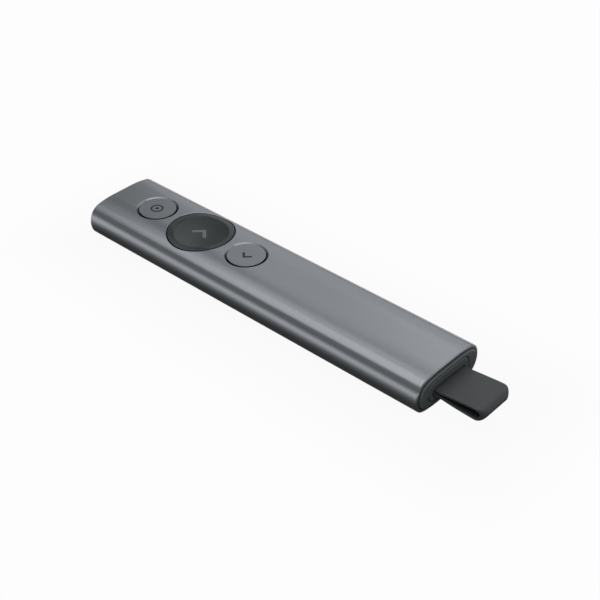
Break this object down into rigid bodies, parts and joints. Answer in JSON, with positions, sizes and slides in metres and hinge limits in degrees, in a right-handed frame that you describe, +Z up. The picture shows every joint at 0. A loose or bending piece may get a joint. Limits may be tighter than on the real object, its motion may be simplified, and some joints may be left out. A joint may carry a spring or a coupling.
{
  "type": "wireless presentation clicker",
  "caption": "Slim hand-held presentation remote: oval metal casing, sprung round buttons in a row, and a plug-in radio receiver with a soft pull loop parked in its rear end.",
  "frame": {"origin": "middle of the flat land on the casing's underside, half-way between the front rim and the face of the rear end plate", "axes": "+Y towards the pointing end, +Z up through the buttons, +X to the right seen from above with the pointing end away"},
  "size_m": [0.028, 0.1473, 0.0121],
  "materials": {
    "anodised_shell": "satin, bead-blasted and anodised grey",
    "anodised_cap": "satin, anodised grey",
    "button_plastic": "fine matt moulding",
    "dark_plastic": "fine matt moulding",
    "inner_plastic": "plain moulding",
    "circuit_board": "solder mask",
    "chip_black": "matt epoxy",
    "plated_steel": "nickel plated",
    "contact_gold": "gold plated",
    "battery_foil": "laminated foil",
    "foam_tape": "closed-cell foam",
    "flex_film": "polyimide film",
    "lead_sleeve": "insulated wire",
    "soft_rubber": "fine matt elastomer"
  },
  "bodies": {
    "remote": {"casing": "anodised_shell", "front_cap": "dark_plastic", "chassis": "inner_plastic", "main_board": "circuit_board", "shield_can": "plated_steel", "board_chips": "chip_black", "antenna": "plated_steel", "button_frame": "inner_plastic", "frame_screws": "plated_steel", "pointer_switch": "chip_black", "next_switch": "chip_black", "back_switch": "chip_black", "battery_tape": "foam_tape", "battery": "battery_foil", "battery_plug": "inner_plastic", "battery_leads": "lead_sleeve", "motor_pad": "foam_tape", "vibration_motor": "plated_steel", "charge_board": "circuit_board", "charge_chips": "chip_black", "usb_c_shell": "plated_steel", "usb_c_tongue": "chip_black", "flex_cable": "flex_film", "receiver_bay": "dark_plastic", "bay_screws": "plated_steel"},
    "pointer_button": {"pointer_cap": "anodised_cap", "pointer_carrier": "inner_plastic", "pointer_plunger": "inner_plastic"},
    "next_button": {"next_cap": "button_plastic", "next_carrier": "inner_plastic", "next_plunger": "inner_plastic"},
    "back_button": {"back_cap": "anodised_cap", "back_carrier": "inner_plastic", "back_plunger": "inner_plastic"},
    "receiver": {"receiver_shell": "dark_plastic", "receiver_end_cap": "dark_plastic", "plug_shell": "plated_steel", "plug_tongue": "chip_black", "plug_contacts": "contact_gold", "receiver_board": "circuit_board", "receiver_chip": "chip_black", "pull_loop": "soft_rubber", "loop_pin": "plated_steel"}
  },
  "joints": [
    {"name": "pointer_press", "type": "slide", "parent": "remote", "child": "pointer_button", "axis": [0, 0, -1], "range_m": [0, 0.0004], "stiffness_N_per_m": 600, "springref_m": -0.0015},
    {"name": "next_press", "type": "slide", "parent": "remote", "child": "next_button", "axis": [0, 0, -1], "range_m": [0, 0.0004], "stiffness_N_per_m": 600, "springref_m": -0.0015},
    {"name": "back_press", "type": "slide", "parent": "remote", "child": "back_button", "axis": [0, 0, -1], "range_m": [0, 0.0004], "stiffness_N_per_m": 600, "springref_m": -0.0015},
    {"name": "receiver_pull", "type": "slide", "parent": "remote", "child": "receiver", "axis": [0, -1, 0], "range_m": [0, 0.03]}
  ]
}
